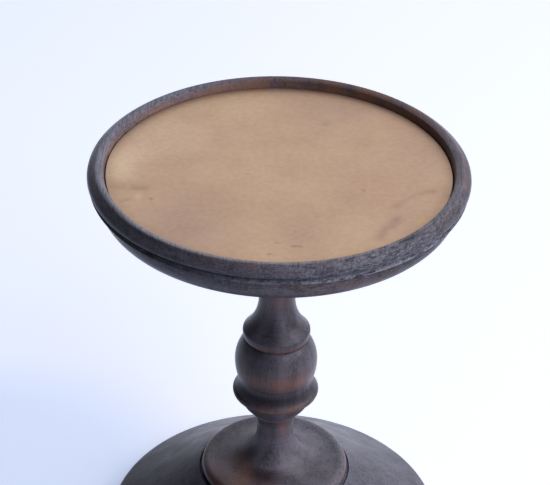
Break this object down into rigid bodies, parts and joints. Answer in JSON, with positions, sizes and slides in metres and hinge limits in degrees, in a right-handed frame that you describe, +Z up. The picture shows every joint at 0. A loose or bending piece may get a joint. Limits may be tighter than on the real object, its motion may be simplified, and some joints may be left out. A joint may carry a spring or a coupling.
{
  "type": "candle stand",
  "caption": "Small turned dark-wood candle stand: domed base, baluster stem and round rimmed dish with an inset aged brass plate for a pillar candle.",
  "frame": {"origin": "on the floor, under the stand's axis, at the centre of the base's foot ring", "axes": "+Z up along the turning axis; -Y towards the viewer of the picture; +X to the viewer's right"},
  "size_m": [0.12, 0.12, 0.1502],
  "materials": {
    "dark_wood": "dark stain, hand-waxed to a worn satin sheen",
    "aged_brass": "dull tarnished sheet, unlacquered",
    "wedge_wood": "bare hardwood, darkened with age"
  },
  "bodies": {
    "root": {"domed_base": "dark_wood", "baluster_stem": "dark_wood", "rimmed_dish": "dark_wood", "brass_plate": "aged_brass", "base_tenon_wedge": "wedge_wood", "dish_tenon_wedge": "wedge_wood"}
  },
  "joints": []
}
